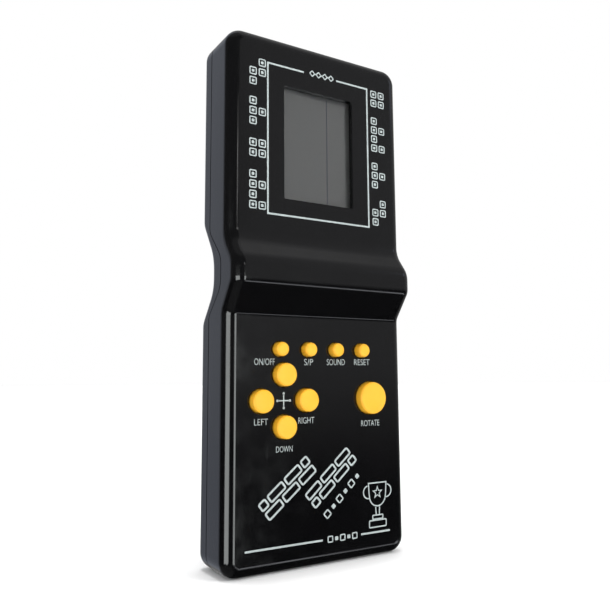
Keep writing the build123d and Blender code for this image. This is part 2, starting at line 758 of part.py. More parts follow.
# ---- leads: each route is straight runs joined by arcs ----
LEAD_R = 0.5
ARC_SHARE = 0.45
LEAD_GAP = 0.45
TAB_END = BAY_END + BAY_WALL + TAB_REACH + LEAD_GAP
PAD_DEPTH = BOARD_BACK - LEAD_GAP
LEADS = {
    "battery_lead_red": [
        at(TAB_END, CELL_ZS[0], TAB_DEPTH),
        at(TAB_END + 2.4, CELL_ZS[0] + 1.2, 12.6),
        at(TAB_END + 2.6, CELL_ZS[0] + 12, 10.8),
        at(TAB_END + 1.8, CELL_ZS[0] + 25.5, 9.6),
        at(22.5, 44.6, 10.0),
        at(18.0, 45.6, PAD_DEPTH),
    ],
    "battery_lead_black": [
        at(TAB_END, CELL_ZS[1], TAB_DEPTH),
        at(TAB_END + 2.0, CELL_ZS[1] + 1.6, 13.0),
        at(TAB_END + 0.6, CELL_ZS[1] + 11.2, 11.6),
        at(20.5, 48.4, 11.2),
        at(15.5, 49.0, PAD_DEPTH),
    ],
    "buzzer_lead_red": [
        at(BUZZER_X + 2.0, BUZZER_Z, BUZZER_SEAT + 2 * BUZZER_T + LEAD_GAP),
        at(BUZZER_X + 3.0, BUZZER_Z + 3.0, BUZZER_SEAT + 3.4),
        at(BUZZER_X + 5.5, BUZZER_Z + 12.5, BUZZER_SEAT + 6.0),
        at(BUZZER_X + 7.0, BUZZER_Z + 18.0, PAD_DEPTH),
    ],
    "buzzer_lead_black": [
        at(BUZZER_X - 8.6, BUZZER_Z, BUZZER_SEAT + BUZZER_T + LEAD_GAP),
        at(BUZZER_X - 8.0, BUZZER_Z + 3.0, BUZZER_SEAT + 3.2),
        at(BUZZER_X - 4.5, BUZZER_Z + 12.5, BUZZER_SEAT + 6.2),
        at(BUZZER_X - 3.5, BUZZER_Z + 19.0, PAD_DEPTH),
    ],
}


def bend_radii(points):
    """The largest arc that its two runs allow, at each corner of a route."""
    radii = []
    for before, corner, after in zip(points, points[1:], points[2:]):
        turn = (corner - before).get_angle(after - corner)
        shorter = min((corner - before).length, (after - corner).length)
        radii.append(ARC_SHARE * shorter / tan(radians(turn / 2)))
    return radii


for name, route in LEADS.items():
    radii = bend_radii(route)
    with BuildPart() as lead:
        with BuildLine() as path:
            FilletPolyline(*route, radius=radii)
        with BuildSketch(Plane(origin=path.line @ 0, z_dir=path.line % 0)):
            Circle(LEAD_R)
        sweep(path=path.line)
    print(name, "bend radii", [round(radius, 1) for radius in radii])
    finish(lead, name)


# ---- screws ----
CROSS_L = 1.2
CROSS_W = 0.3
CROSS_DEPTH = 0.5
SCREW_HEAD_H = 1.4
SCREW_L = 10.0
POST_HEAD_R = 1.7
POST_HEAD_H = 1.0
POST_SCREW_L = BOARD_T + 3.0


def pan_screw(x, z, seat, head_r, head_h, shank_r, length):
    """Self-tapping screw put in from the back, with a cross in its head."""
    with BuildPart() as screw:
        with BuildSketch(facing(x, z, seat - head_h)):
            Circle(head_r)
        extrude(amount=head_h)
        with BuildSketch(facing(x, z, seat)):
            Circle(shank_r)
        extrude(amount=length)
        with BuildSketch(facing(x, z, seat - head_h)):
            Rectangle(head_r * CROSS_L, head_r * CROSS_W)
            Rectangle(head_r * CROSS_W, head_r * CROSS_L)
        extrude(amount=head_h * CROSS_DEPTH, mode=Mode.SUBTRACT)
    return screw.part


with BuildPart() as case_screws:
    for x, z in boss_points():
        add(pan_screw(x, z, SCREW_SEAT, SCREW_HEAD_R, SCREW_HEAD_H, SCREW_R, SCREW_L))
finish(case_screws, "case_screws")

with BuildPart() as board_screws:
    for x, z in post_points():
        add(pan_screw(x, z, BOARD_BACK, POST_HEAD_R, POST_HEAD_H, POST_BOLT_R, POST_SCREW_L))
finish(board_screws, "board_screws")
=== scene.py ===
import math

import bmesh
import bpy
from mathutils import Matrix, Vector


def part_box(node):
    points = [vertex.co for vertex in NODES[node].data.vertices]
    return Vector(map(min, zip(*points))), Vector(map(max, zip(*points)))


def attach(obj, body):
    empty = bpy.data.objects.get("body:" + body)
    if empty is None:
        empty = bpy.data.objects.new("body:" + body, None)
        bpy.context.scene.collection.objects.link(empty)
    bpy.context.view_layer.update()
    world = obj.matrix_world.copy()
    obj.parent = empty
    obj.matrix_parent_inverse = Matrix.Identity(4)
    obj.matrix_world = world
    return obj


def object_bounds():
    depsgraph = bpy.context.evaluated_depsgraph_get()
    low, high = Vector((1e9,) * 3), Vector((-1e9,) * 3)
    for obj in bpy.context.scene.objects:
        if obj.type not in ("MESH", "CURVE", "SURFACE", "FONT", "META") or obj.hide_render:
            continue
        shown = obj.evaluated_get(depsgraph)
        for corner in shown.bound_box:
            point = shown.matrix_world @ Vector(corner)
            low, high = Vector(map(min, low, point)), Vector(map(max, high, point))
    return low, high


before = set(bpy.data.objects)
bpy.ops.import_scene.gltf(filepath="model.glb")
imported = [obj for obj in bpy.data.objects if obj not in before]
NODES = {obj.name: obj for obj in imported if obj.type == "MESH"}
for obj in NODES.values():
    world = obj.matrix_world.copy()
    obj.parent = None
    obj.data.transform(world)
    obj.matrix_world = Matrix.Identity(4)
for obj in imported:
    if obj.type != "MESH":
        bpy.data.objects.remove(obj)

CAD_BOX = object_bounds()
MM = 0.001

# Planes of the object, read from the frame: the face looks towards -Y.
SHELL_LOW, SHELL_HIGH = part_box("front_shell")
BACK_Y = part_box("rear_shell")[1].y
LOWER_DEPTH = 21.0
UPPER_DEPTH = 22.0
KEYPAD_PANEL_Y = BACK_Y - LOWER_DEPTH * MM
DISPLAY_PANEL_Y = BACK_Y - UPPER_DEPTH * MM
FILM_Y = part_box("front_polarizer")[0].y
INK_T = 0.035 * MM
INK_ROOT = 0.01 * MM
SEGMENT_PITCH = 1.86
ZEBRA_PITCH = 0.36


# ---------------------------------------------------------------- node helpers

class Shader:
    """Short hand for building one material's nodes."""

    def __init__(self, name):
        self.material = bpy.data.materials.new(name)
        self.material.use_nodes = True
        self.tree = self.material.node_tree
        self.tree.nodes.clear()
        self.output = self.tree.nodes.new("ShaderNodeOutputMaterial")
        self.surface = self.tree.nodes.new("ShaderNodeBsdfPrincipled")
        self.tree.links.new(self.surface.outputs[0], self.output.inputs["Surface"])
        self.place = self.tree.nodes.new("ShaderNodeTexCoord").outputs["Object"]

    def link(self, source, target):
        self.tree.links.new(source, target)

    def set(self, **values):
        """Values that are the same all over the surface."""
        for key, value in values.items():
            self.surface.inputs[key.replace("_", " ")].default_value = value
        return self

    def math(self, operation, first, second=0.0, third=0.0):
        node = self.tree.nodes.new("ShaderNodeMath")
        node.operation = operation
        for socket, value in zip(node.inputs, (first, second, third)):
            if isinstance(value, (int, float)):
                socket.default_value = value
            else:
                self.link(value, socket)
        return node.outputs[0]

    def stretch(self, scale):
        """The object's coordinates, scaled per axis."""
        node = self.tree.nodes.new("ShaderNodeMapping")
        node.inputs["Scale"].default_value = scale
        self.link(self.place, node.inputs["Vector"])
        return node.outputs[0]

    def noise(self, scale, detail=3.0, rough=0.5, vector=None):
        node = self.tree.nodes.new("ShaderNodeTexNoise")
        node.inputs["Scale"].default_value = scale
        node.inputs["Detail"].default_value = detail
        node.inputs["Roughness"].default_value = rough
        self.link(vector or self.place, node.inputs["Vector"])
        return node.outputs["Fac"]

    def cells(self, scale):
        node = self.tree.nodes.new("ShaderNodeTexVoronoi")
        node.inputs["Scale"].default_value = scale
        self.link(self.place, node.inputs["Vector"])
        return node.outputs["Distance"]

    def spread(self, value, low, high, to_low, to_high, smooth=True):
        """Maps value from low..high to to_low..to_high, held at the ends."""
        node = self.tree.nodes.new("ShaderNodeMapRange")
        node.interpolation_type = "SMOOTHSTEP" if smooth else "LINEAR"
        self.link(value, node.inputs["Value"])
        keys = ("From Min", "From Max", "To Min", "To Max")
        for key, number in zip(keys, (low, high, to_low, to_high)):
            node.inputs[key].default_value = number
        return node.outputs[0]

    def mix(self, factor, first, second):
        node = self.tree.nodes.new("ShaderNodeMix")
        node.data_type = "RGBA"
        for key, value in (("Factor", factor), ("A", first), ("B", second)):
            socket = [s for s in node.inputs if s.name == key and s.enabled][0]
            if isinstance(value, (int, float)):
                socket.default_value = value
            elif isinstance(value, tuple):
                socket.default_value = (*value, 1.0)
            else:
                self.link(value, socket)
        return [s for s in node.outputs if s.enabled][0]

    def axis(self, name):
        node = self.tree.nodes.new("ShaderNodeSeparateXYZ")
        self.link(self.place, node.inputs[0])
        return node.outputs[name]

    def bump(self, height, strength, distance):
        node = self.tree.nodes.new("ShaderNodeBump")
        node.inputs["Strength"].default_value = strength
        node.inputs["Distance"].default_value = distance
        self.link(height, node.inputs["Height"])
        self.link(node.outputs[0], self.surface.inputs["Normal"])

    def colour(self, source):
        self.link(source, self.surface.inputs["Base Color"])

    def roughness(self, source):
        self.link(source, self.surface.inputs["Roughness"])

    def metallic(self, source):
        self.link(source, self.surface.inputs["Metallic"])


# ---------------------------------------------------------------- materials

def case_plastic(name, tone=1.0, rough=(0.09, 0.17), grain=0.02):
    """Gloss black moulded plastic: faint cloudiness, handling haze and a very fine skin."""
    shader = Shader(name).set(IOR=1.49)
    cloud = shader.noise(38, 4, 0.6)
    haze = shader.noise(95, 5, 0.65)
    skin = shader.noise(2600, 2, 0.5)
    darkest = tuple(tone * c for c in (0.0014, 0.0014, 0.0017))
    palest = tuple(tone * c for c in (0.0026, 0.0026, 0.0030))
    shader.colour(shader.mix(cloud, darkest, palest))
    scratches = shader.noise(520, 2, 0.5, shader.stretch((1.0, 1.0, 0.06)))
    scuff = shader.spread(scratches, 0.68, 0.76, 0.0, 0.05)
    base = shader.spread(haze, 0.35, 0.7, rough[0], rough[1])
    shader.roughness(shader.math("ADD", base, scuff))
    shader.bump(skin, grain, 0.00002)
    return shader.material


def key_plastic(name):
    """Satin yellow plastic with a fine moulded grain."""
    shader = Shader(name).set(IOR=1.47, Subsurface_Weight=0.12, Subsurface_Scale=0.001)
    shader.surface.inputs["Subsurface Radius"].default_value = (1.0, 0.45, 0.12)
    cloud = shader.noise(260, 3, 0.55)
    speck = shader.noise(1900, 2, 0.5)
    tint = shader.mix(cloud, (0.80, 0.40, 0.022), (0.88, 0.46, 0.032))
    fleck = shader.spread(speck, 0.35, 0.75, 0.0, 0.12)
    shader.colour(shader.mix(fleck, tint, (0.72, 0.33, 0.015)))
    shader.roughness(shader.spread(cloud, 0.3, 0.7, 0.30, 0.42))
    shader.bump(speck, 0.12, 0.00003)
    return shader.material


def ink(name, light=(0.42, 0.47, 0.465), dark=(0.34, 0.385, 0.385)):
    """Silver-white screen print: slightly uneven, with pinholes."""
    shader = Shader(name).set(IOR=1.45)
    blot = shader.noise(900, 4, 0.6)
    pin = shader.cells(2400)
    tint = shader.mix(shader.spread(blot, 0.35, 0.65, 0.0, 1.0), light, dark)
    shader.colour(shader.mix(shader.spread(pin, 0.05, 0.16, 0.35, 0.0), tint, (0.08, 0.09, 0.09)))
    shader.roughness(shader.spread(blot, 0.3, 0.7, 0.38, 0.55))
    shader.bump(blot, 0.15, 0.00002)
    return shader.material


def lcd_film(name):
    """Grey polarising film, with the faint grid of unlit segments behind it."""
    shader = Shader(name).set(IOR=1.5)
    drift = shader.noise(30, 2, 0.5)
    tint = shader.mix(drift, (0.105, 0.108, 0.106), (0.125, 0.127, 0.124))
    pitch = 1 / (SEGMENT_PITCH * MM)
    across = shader.math("FRACT", shader.math("MULTIPLY", shader.axis("X"), pitch))
    up = shader.math("FRACT", shader.math("MULTIPLY", shader.axis("Z"), pitch))
    gap_x = shader.math("ABSOLUTE", shader.math("SUBTRACT", across, 0.5))
    gap_z = shader.math("ABSOLUTE", shader.math("SUBTRACT", up, 0.5))
    edge = shader.math("MAXIMUM", gap_x, gap_z)
    segment = shader.spread(edge, 0.40, 0.44, 0.05, 0.0)
    shader.colour(shader.mix(segment, tint, (0.03, 0.035, 0.045)))
    fine = shader.noise(3200, 2, 0.5)
    shader.roughness(shader.spread(fine, 0.3, 0.7, 0.30, 0.40))
    shader.bump(fine, 0.06, 0.00001)
    return shader.material


def clear_sheet(name):
    """Clear acrylic: see-through, with a trace of haze and hairline scratches."""
    shader = Shader(name).set(IOR=1.49, Transmission_Weight=1.0)
    haze = shader.noise(140, 4, 0.6)
    shader.colour(shader.mix(haze, (0.93, 0.94, 0.94), (0.98, 0.98, 0.98)))
    shader.roughness(shader.spread(haze, 0.4, 0.8, 0.0, 0.02))
    return shader.material


def laminate(name, light, dark):
    """Lacquered board: woven glass under the lacquer, with a few copper-coloured tracks."""
    shader = Shader(name).set(IOR=1.52, Coat_Weight=0.4, Coat_Roughness=0.15)
    weave_x = shader.math("SINE", shader.math("MULTIPLY", shader.axis("X"), 9000.0))
    weave_z = shader.math("SINE", shader.math("MULTIPLY", shader.axis("Z"), 9000.0))
    weave = shader.math("MULTIPLY_ADD", shader.math("MULTIPLY", weave_x, weave_z), 0.5, 0.5)
    cloud = shader.noise(60, 3, 0.5)
    base = shader.mix(shader.math("MULTIPLY", weave, 0.5), dark, light)
    track = shader.noise(210, 0, 0.0, shader.stretch((0.25, 1.0, 1.0)))
    line = shader.math("ABSOLUTE", shader.math("SUBTRACT", track, 0.5))
    copper = shader.spread(line, 0.012, 0.02, 0.7, 0.0)
    shader.colour(shader.mix(copper, base, (0.34, 0.30, 0.09)))
    shader.roughness(shader.spread(cloud, 0.3, 0.7, 0.3, 0.45))
    shader.bump(weave, 0.08, 0.00003)
    return shader.material


def metal(name, light, dark, rough=(0.22, 0.4), grain=(1.0, 1.0, 0.03), scale=900):
    """Drawn or rolled metal: streaks along the grain and dull spots."""
    shader = Shader(name).set(Metallic=1.0)
    streak = shader.noise(scale, 3, 0.6, shader.stretch(grain))
    dull = shader.noise(170, 4, 0.65)
    tint = shader.mix(streak, dark, light)
    stain = tuple(0.6 * c for c in dark)
    shader.colour(shader.mix(shader.spread(dull, 0.6, 0.78, 0.0, 0.5), tint, stain))
    drawn = shader.spread(streak, 0.2, 0.8, *rough)
    worn = shader.spread(dull, 0.55, 0.8, 0.0, 0.15)
    shader.roughness(shader.math("ADD", drawn, worn))
    shader.bump(streak, 0.10, 0.00002)
    return shader.material


def moulded(name, light, dark, rough, scale, coat):
    """Plain moulded or dipped material with mottling and a fine skin."""
    shader = Shader(name).set(IOR=1.48, Coat_Weight=coat, Coat_Roughness=0.12)
    mottle = shader.noise(scale, 4, 0.6)
    skin = shader.noise(scale * 9, 2, 0.5)
    shader.colour(shader.mix(shader.spread(mottle, 0.3, 0.7, 0.0, 1.0), dark, light))
    shader.roughness(shader.spread(mottle, 0.3, 0.7, *rough))
    shader.bump(skin, 0.12, 0.00002)
    return shader.material


def cell_jacket(name):
    """Printed jacket of an AA cell: a dark body, a coloured band and bare metal ends."""
    shader = Shader(name).set(IOR=1.5)
    along = shader.axis("X")
    streak = shader.noise(700, 3, 0.5, shader.stretch((0.05, 1.0, 1.0)))
    from_middle = shader.math("ABSOLUTE", along)
    body = shader.mix(streak, (0.030, 0.055, 0.040), (0.045, 0.080, 0.055))
    band = shader.spread(from_middle, 0.0135, 0.0140, 0.0, 1.0, smooth=False)
    printed = shader.mix(band, body, (0.62, 0.50, 0.18))
    ends = shader.spread(from_middle, 0.0228, 0.0232, 0.0, 1.0, smooth=False)
    shader.colour(shader.mix(ends, printed, (0.62, 0.62, 0.64)))
    shader.metallic(shader.spread(from_middle, 0.0135, 0.0232, 0.45, 1.0))
    shader.roughness(shader.spread(streak, 0.3, 0.7, 0.24, 0.36))
    shader.bump(streak, 0.05, 0.00002)
    return shader.material


def stripes(name):
    """Zebra rubber: fine dark and pale layers side by side."""
    shader = Shader(name).set(IOR=1.42)
    phase = shader.math("FRACT", shader.math("MULTIPLY", shader.axis("X"), 1 / (ZEBRA_PITCH * MM)))
    edge = shader.math("ABSOLUTE", shader.math("SUBTRACT", phase, 0.5))
    blot = shader.noise(500, 3, 0.5)
    pale = shader.mix(blot, (0.62, 0.25, 0.30), (0.72, 0.34, 0.38))
    shader.colour(shader.mix(shader.spread(edge, 0.2, 0.26, 1.0, 0.0), pale, (0.03, 0.03, 0.03)))
    shader.roughness(shader.spread(blot, 0.3, 0.7, 0.55, 0.7))
    shader.bump(edge, 0.2, 0.00003)
    return shader.material


def floor_paper(name):
    """Pale seamless paper."""
    shader = Shader(name).set(IOR=1.3)
    fibre = shader.noise(60, 5, 0.6)
    shader.colour(shader.mix(fibre, (0.90, 0.90, 0.90), (0.94, 0.94, 0.94)))
    shader.roughness(shader.spread(fibre, 0.3, 0.7, 0.75, 0.9))
    shader.bump(fibre, 0.03, 0.0002)
    return shader.material


def assign(material, *nodes):
    """Gives CAD nodes their finished material."""
    for node in nodes:
        mesh = NODES[node].data
        mesh.materials.clear()
        mesh.materials.append(material)


# name: palest and darkest colour, roughness, mottling scale, coat, CAD nodes
MOULDED = {
    "glass_edge": (
        (0.10, 0.12, 0.11), (0.07, 0.09, 0.085), (0.05, 0.1), 90, 1.0, ("lcd_glass",)),
    "holder_white": (
        (0.62, 0.62, 0.60), (0.55, 0.55, 0.53), (0.4, 0.55), 300, 0.0, ("lcd_holder",)),
    "epoxy_black": (
        (0.012, 0.012, 0.013), (0.006, 0.006, 0.007), (0.12, 0.25), 260, 0.6, ("chip_blob",)),
    "transistor_black": (
        (0.02, 0.02, 0.02), (0.012, 0.012, 0.012), (0.45, 0.6), 900, 0.0, ("buzzer_transistor",)),
    "capacitor_sleeve": (
        (0.02, 0.03, 0.12), (0.012, 0.018, 0.08), (0.22, 0.32), 400, 0.3,
        ("electrolytic_capacitor",)),
    "dipped_ceramic": (
        (0.50, 0.24, 0.06), (0.40, 0.17, 0.04), (0.3, 0.45), 700, 0.3, ("ceramic_capacitors",)),
    "resistor_lacquer": (
        (0.56, 0.42, 0.24), (0.48, 0.34, 0.18), (0.3, 0.4), 800, 0.3, ("resistors",)),
    "silicone_grey": (
        (0.36, 0.37, 0.38), (0.30, 0.31, 0.32), (0.55, 0.7), 250, 0.0, ("keypad_mat",)),
    "carbon_pill": (
        (0.02, 0.02, 0.02), (0.01, 0.01, 0.01), (0.7, 0.85), 1200, 0.0, ("carbon_pills",)),
    "piezo_silver": (
        (0.70, 0.69, 0.66), (0.60, 0.59, 0.57), (0.35, 0.5), 600, 0.0, ("piezo_ceramic",)),
    "wire_red": (
        (0.42, 0.015, 0.012), (0.33, 0.010, 0.009), (0.4, 0.5), 500, 0.0,
        ("battery_lead_red", "buzzer_lead_red")),
    "wire_black": (
        (0.016, 0.016, 0.017), (0.010, 0.010, 0.011), (0.4, 0.5), 500, 0.0,
        ("battery_lead_black", "buzzer_lead_black")),
}


def dress_nodes():
    assign(case_plastic("case_gloss_black"), "front_shell")
    assign(case_plastic("case_gloss_black_rear", 1.15, (0.13, 0.22), 0.05), "rear_shell")
    assign(case_plastic("door_black", 1.25, (0.17, 0.27), 0.10), "battery_door")
    yellow = key_plastic("key_satin_yellow")
    assign(yellow, *[name for name in NODES if name.startswith("key_")])
    assign(clear_sheet("window_acrylic"), "display_window")
    assign(lcd_film("lcd_grey_film"), "front_polarizer")
    foil = metal("reflector_foil", (0.40, 0.41, 0.41), (0.30, 0.31, 0.31), (0.35, 0.5))
    assign(foil, "lcd_reflector")
    assign(stripes("zebra_rubber"), "zebra_strips")
    board = laminate("board_laminate", (0.16, 0.20, 0.045), (0.09, 0.13, 0.03))
    assign(board, "circuit_board")
    for name, (light, dark, rough, scale, coat, nodes) in MOULDED.items():
        assign(moulded(name, light, dark, rough, scale, coat), *nodes)
    gold = ((0.72, 0.50, 0.20), (0.55, 0.36, 0.13))
    brass = metal("buzzer_brass", *gold, (0.25, 0.4), (1.0, 1.0, 0.05))
    assign(brass, "piezo_plate")
    assign(cell_jacket("cell_jacket"), "battery_lower", "battery_upper")
    spring = metal("spring_nickel", (0.66, 0.65, 0.63), (0.50, 0.49, 0.47), (0.15, 0.3), (1, 1, 1))
    assign(spring, "battery_springs")
    strip = metal("contact_nickel", (0.64, 0.63, 0.60), (0.50, 0.49, 0.46), (0.25, 0.42))
    assign(strip, "battery_bridge", "positive_contact", "negative_contact")
    zinc = ((0.50, 0.50, 0.52), (0.34, 0.34, 0.36))
    screw = metal("screw_zinc", *zinc, (0.28, 0.45), (1, 1, 1), 1400)
    assign(screw, "case_screws", "board_screws")


# ---------------------------------------------------------------- screen print

def direction(first, second):
    run = Vector(second) - Vector(first)
    return run.normalized()


def outline_pair(points, width, closed):
    """Left and right borders of a line of one width, mitred at its corners."""
    left, right = [], []
    count = len(points)
    for index, point in enumerate(points):
        before = points[index - 1] if closed or index > 0 else None
        after = points[(index + 1) % count] if closed or index < count - 1 else None
        along_in = direction(before, point) if before is not None else None
        along_out = direction(point, after) if after is not None else None
        along_in = along_in or along_out
        along_out = along_out or along_in
        across_in = Vector((-along_in.y, along_in.x))
        across_out = Vector((-along_out.y, along_out.x))
        across = (across_in + across_out).normalized()
        reach = width / 2 / max(0.3, across.dot(across_in))
        left.append(Vector(point) + across * reach)
        right.append(Vector(point) - across * reach)
    return left, right


class Print:
    """One layer of ink on a flat panel, drawn in millimetres across (x) and up (z)."""

    def __init__(self, panel_y):
        self.mesh = bmesh.new()
        self.top = panel_y - INK_T
        self.root = panel_y + INK_ROOT

    def place(self, point, level):
        return self.mesh.verts.new((point[0] * MM, level, point[1] * MM))

    def prism(self, points):
        """Solid spot of ink with any outline, given anticlockwise as seen from the front."""
        top = [self.place(p, self.top) for p in points]
        root = [self.place(p, self.root) for p in points]
        count = len(points)
        self.mesh.faces.new(top)
        self.mesh.faces.new(list(reversed(root)))
        for i in range(count):
            j = (i + 1) % count
            self.mesh.faces.new((top[j], top[i], root[i], root[j]))

    def line(self, points, width, closed=False):
        """Line of ink of one width."""
        left, right = outline_pair(points, width, closed)
        rows = []
        for a, b in zip(left, right):
            front = (self.place(a, self.top), self.place(b, self.top))
            rows.append((*front, self.place(b, self.root), self.place(a, self.root)))
        last = len(rows) if closed else len(rows) - 1
        for i in range(last):
            here, there = rows[i], rows[(i + 1) % len(rows)]
            for k in range(4):
                after = (k + 1) % 4
                self.mesh.faces.new((here[k], here[after], there[after], there[k]))
        if not closed:
            self.mesh.faces.new(tuple(reversed(rows[0])))
            self.mesh.faces.new(rows[-1])

    def disc(self, centre, radius, sides):
        points = []
        for i in range(sides):
            angle = 2 * math.pi * i / sides
            x = centre[0] + radius * math.cos(angle)
            points.append((x, centre[1] + radius * math.sin(angle)))
        self.prism(points)

    def finish(self, name, material):
        bmesh.ops.recalc_face_normals(self.mesh, faces=self.mesh.faces)
        data = bpy.data.meshes.new(name)
        self.mesh.to_mesh(data)
        self.mesh.free()
        piece = bpy.data.objects.new(name, data)
        bpy.context.scene.collection.objects.link(piece)
        data.materials.append(material)
        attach(piece, "case")
        return piece


def rounded_box(centre, width, height, radius, turn=0.0, steps=4):
    """Corner points of a rounded rectangle, turned about its centre, anticlockwise."""
    points = []
    for corner, (sx, sz) in enumerate(((1, 1), (-1, 1), (-1, -1), (1, -1))):
        for step in range(steps + 1):
            angle = math.pi / 2 * (corner + step / steps)
            x = sx * (width / 2 - radius) + radius * math.cos(angle)
            z = sz * (height / 2 - radius) + radius * math.sin(angle)
            points.append((x, z))
    c, s = math.cos(turn), math.sin(turn)
    return [(centre[0] + x * c - z * s, centre[1] + x * s + z * c) for x, z in points]


def arc(centre, radius, start, end, steps=14):
    """Points along a circular arc, angles in degrees."""
    points = []
    for step in range(steps + 1):
        angle = math.radians(start + (end - start) * step / steps)
        x = centre[0] + radius * math.cos(angle)
        points.append((x, centre[1] + radius * math.sin(angle)))
    return points


CELL = 2.85
CELL_PITCH = 3.6
CELL_LINE = 0.42


def block_cell(layer, x, z):
    """One outlined square with a dot in it."""
    side = CELL - CELL_LINE
    layer.line(rounded_box((x, z), side, side, 0.35), CELL_LINE, closed=True)
    layer.prism(rounded_box((x, z), 1.0, 1.0, 0.25))


def print_display(material):
    """White frame round the display, the block columns beside it and a small ornament above."""
    layer = Print(DISPLAY_PANEL_Y)
    half_w, low, high, line = 21.7, 121.2, 175.7, 0.62
    gap = (-6.8, 7.5)
    corners = [(-half_w, high), (-half_w, low), (half_w, low), (half_w, high)]
    layer.line([(gap[0], high), *corners, (gap[1], high)], line)
    layer.finish("print_frame", material)

    layer = Print(DISPLAY_PANEL_Y)
    step, start, z = 2.75, -3.15, high + 0.35
    for index in range(4):
        x = start + index * step
        layer.line(rounded_box((x, z), 1.5, 1.5, 0.2, math.radians(45)), 0.4, closed=True)
    for index in range(3):
        layer.disc((start + step / 2 + index * step, z), 0.3, 12)
    layer.finish("print_ornament", material)

    # x of each column: the highest square and the number of squares of each group
    columns = {
        "print_blocks_left": {
            -27.5: ((171.4, 2), (160.6, 3), (145.6, 2), (134.4, 4)),
            -23.9: ((175.0, 2), (157.0, 1), (145.6, 2), (130.8, 1), (123.6, 1)),
        },
        "print_blocks_right": {
            24.9: ((174.3, 2), (163.5, 4), (145.4, 3), (127.2, 2)),
            28.5: ((174.3, 2), (159.9, 1), (152.7, 1), (141.8, 1), (130.8, 2)),
        },
    }
    for name, column in columns.items():
        layer = Print(DISPLAY_PANEL_Y)
        for x, groups in column.items():
            for top, count in groups:
                for index in range(count):
                    block_cell(layer, x, top - index * CELL_PITCH)
        layer.finish(name, material)


def text_mesh(words, centre, width, height, depth_y):
    """Plain capital letters filling a given width and height on a panel."""
    curve = bpy.data.curves.new(words, "FONT")
    curve.body = words
    curve.size = 1.0
    curve.offset = -0.004
    curve.resolution_u = 4
    carrier = bpy.data.objects.new(words, curve)
    bpy.context.scene.collection.objects.link(carrier)
    bpy.context.view_layer.update()
    depsgraph = bpy.context.evaluated_depsgraph_get()
    data = bpy.data.meshes.new_from_object(carrier.evaluated_get(depsgraph))
    bpy.data.objects.remove(carrier)
    shape = bmesh.new()
    shape.from_mesh(data)
    bmesh.ops.remove_doubles(shape, verts=shape.verts, dist=1e-5)
    xs = [v.co.x for v in shape.verts]
    ys = [v.co.y for v in shape.verts]
    sx = width / (max(xs) - min(xs))
    sy = height / (max(ys) - min(ys))
    mid = ((max(xs) + min(xs)) / 2, (max(ys) + min(ys)) / 2)
    for vert in shape.verts:
        x = (centre[0] + (vert.co.x - mid[0]) * sx) * MM
        z = (centre[1] + (vert.co.y - mid[1]) * sy) * MM
        vert.co = (x, depth_y - INK_T, z)
    grown = bmesh.ops.extrude_face_region(shape, geom=list(shape.faces))
    for item in grown["geom"]:
        if isinstance(item, bmesh.types.BMVert):
            item.co.y = depth_y + INK_ROOT
    bmesh.ops.recalc_face_normals(shape, faces=shape.faces)
    out = bpy.data.meshes.new(words)
    shape.to_mesh(out)
    shape.free()
    bpy.data.meshes.remove(data)
    return out


def print_labels(material):
    """Plain words beside the keys."""
    words = (
        ("ON/OFF", (-22.45, 70.05), 7.9, 2.25),
        ("S/P", (-5.0, 70.05), 3.7, 2.25),
        ("SOUND", (6.55, 70.1), 7.8, 2.2),
        ("RESET", (18.1, 70.15), 7.0, 2.2),
        ("LEFT", (-23.8, 50.0), 5.2, 2.05),
        ("RIGHT", (-6.1, 49.9), 6.5, 2.15),
        ("DOWN", (-14.9, 40.6), 6.4, 2.05),
        ("ROTATE", (21.5, 47.9), 8.3, 2.15),
    )
    joined = bmesh.new()
    for text, centre, width, height in words:
        data = text_mesh(text, centre, width, height, KEYPAD_PANEL_Y)
        joined.from_mesh(data)
        bpy.data.meshes.remove(data)
    data = bpy.data.meshes.new("print_labels")
    joined.to_mesh(data)
    joined.free()
    piece = bpy.data.objects.new("print_labels", data)
    bpy.context.scene.collection.objects.link(piece)
    data.materials.append(material)
    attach(piece, "case")


def print_direction_mark(material):
    """Small cross with round ends between the four direction keys."""
    layer = Print(KEYPAD_PANEL_Y)
    low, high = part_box("key_left"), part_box("key_right")
    x = (low[0].x + high[1].x) / 2 / MM
    z = (low[0].z + low[1].z) / 2 / MM
    reach = 2.25
    layer.line([(x - reach, z), (x + reach, z)], 0.4)
    layer.line([(x, z + 0.2), (x, z + reach)], 0.4)
    layer.line([(x, z - 0.2), (x, z - reach)], 0.4)
    for dx, dz in ((1, 0), (-1, 0), (0, 1), (0, -1)):
        layer.disc((x + dx * (reach + 0.2), z + dz * (reach + 0.2)), 0.42, 16)
    layer.finish("print_direction_mark", material)


def brick_rows(layer, start, turn_deg, courses, height, gap, line):
    """Rising courses of outlined bricks: each course is a list of brick lengths."""
    turn = math.radians(turn_deg)
    along = Vector((math.cos(turn), math.sin(turn)))
    up = Vector((-math.sin(turn), math.cos(turn)))
    for row, lengths in enumerate(courses):
        reach = 0.0
        for length in lengths:
            rise = row * (height + gap) + height / 2
            centre = Vector(start) + along * (reach + length / 2) + up * rise
            brick = rounded_box(centre, length - line, height - line, 0.55, turn)
            layer.line(brick, line, closed=True)
            reach += length + gap


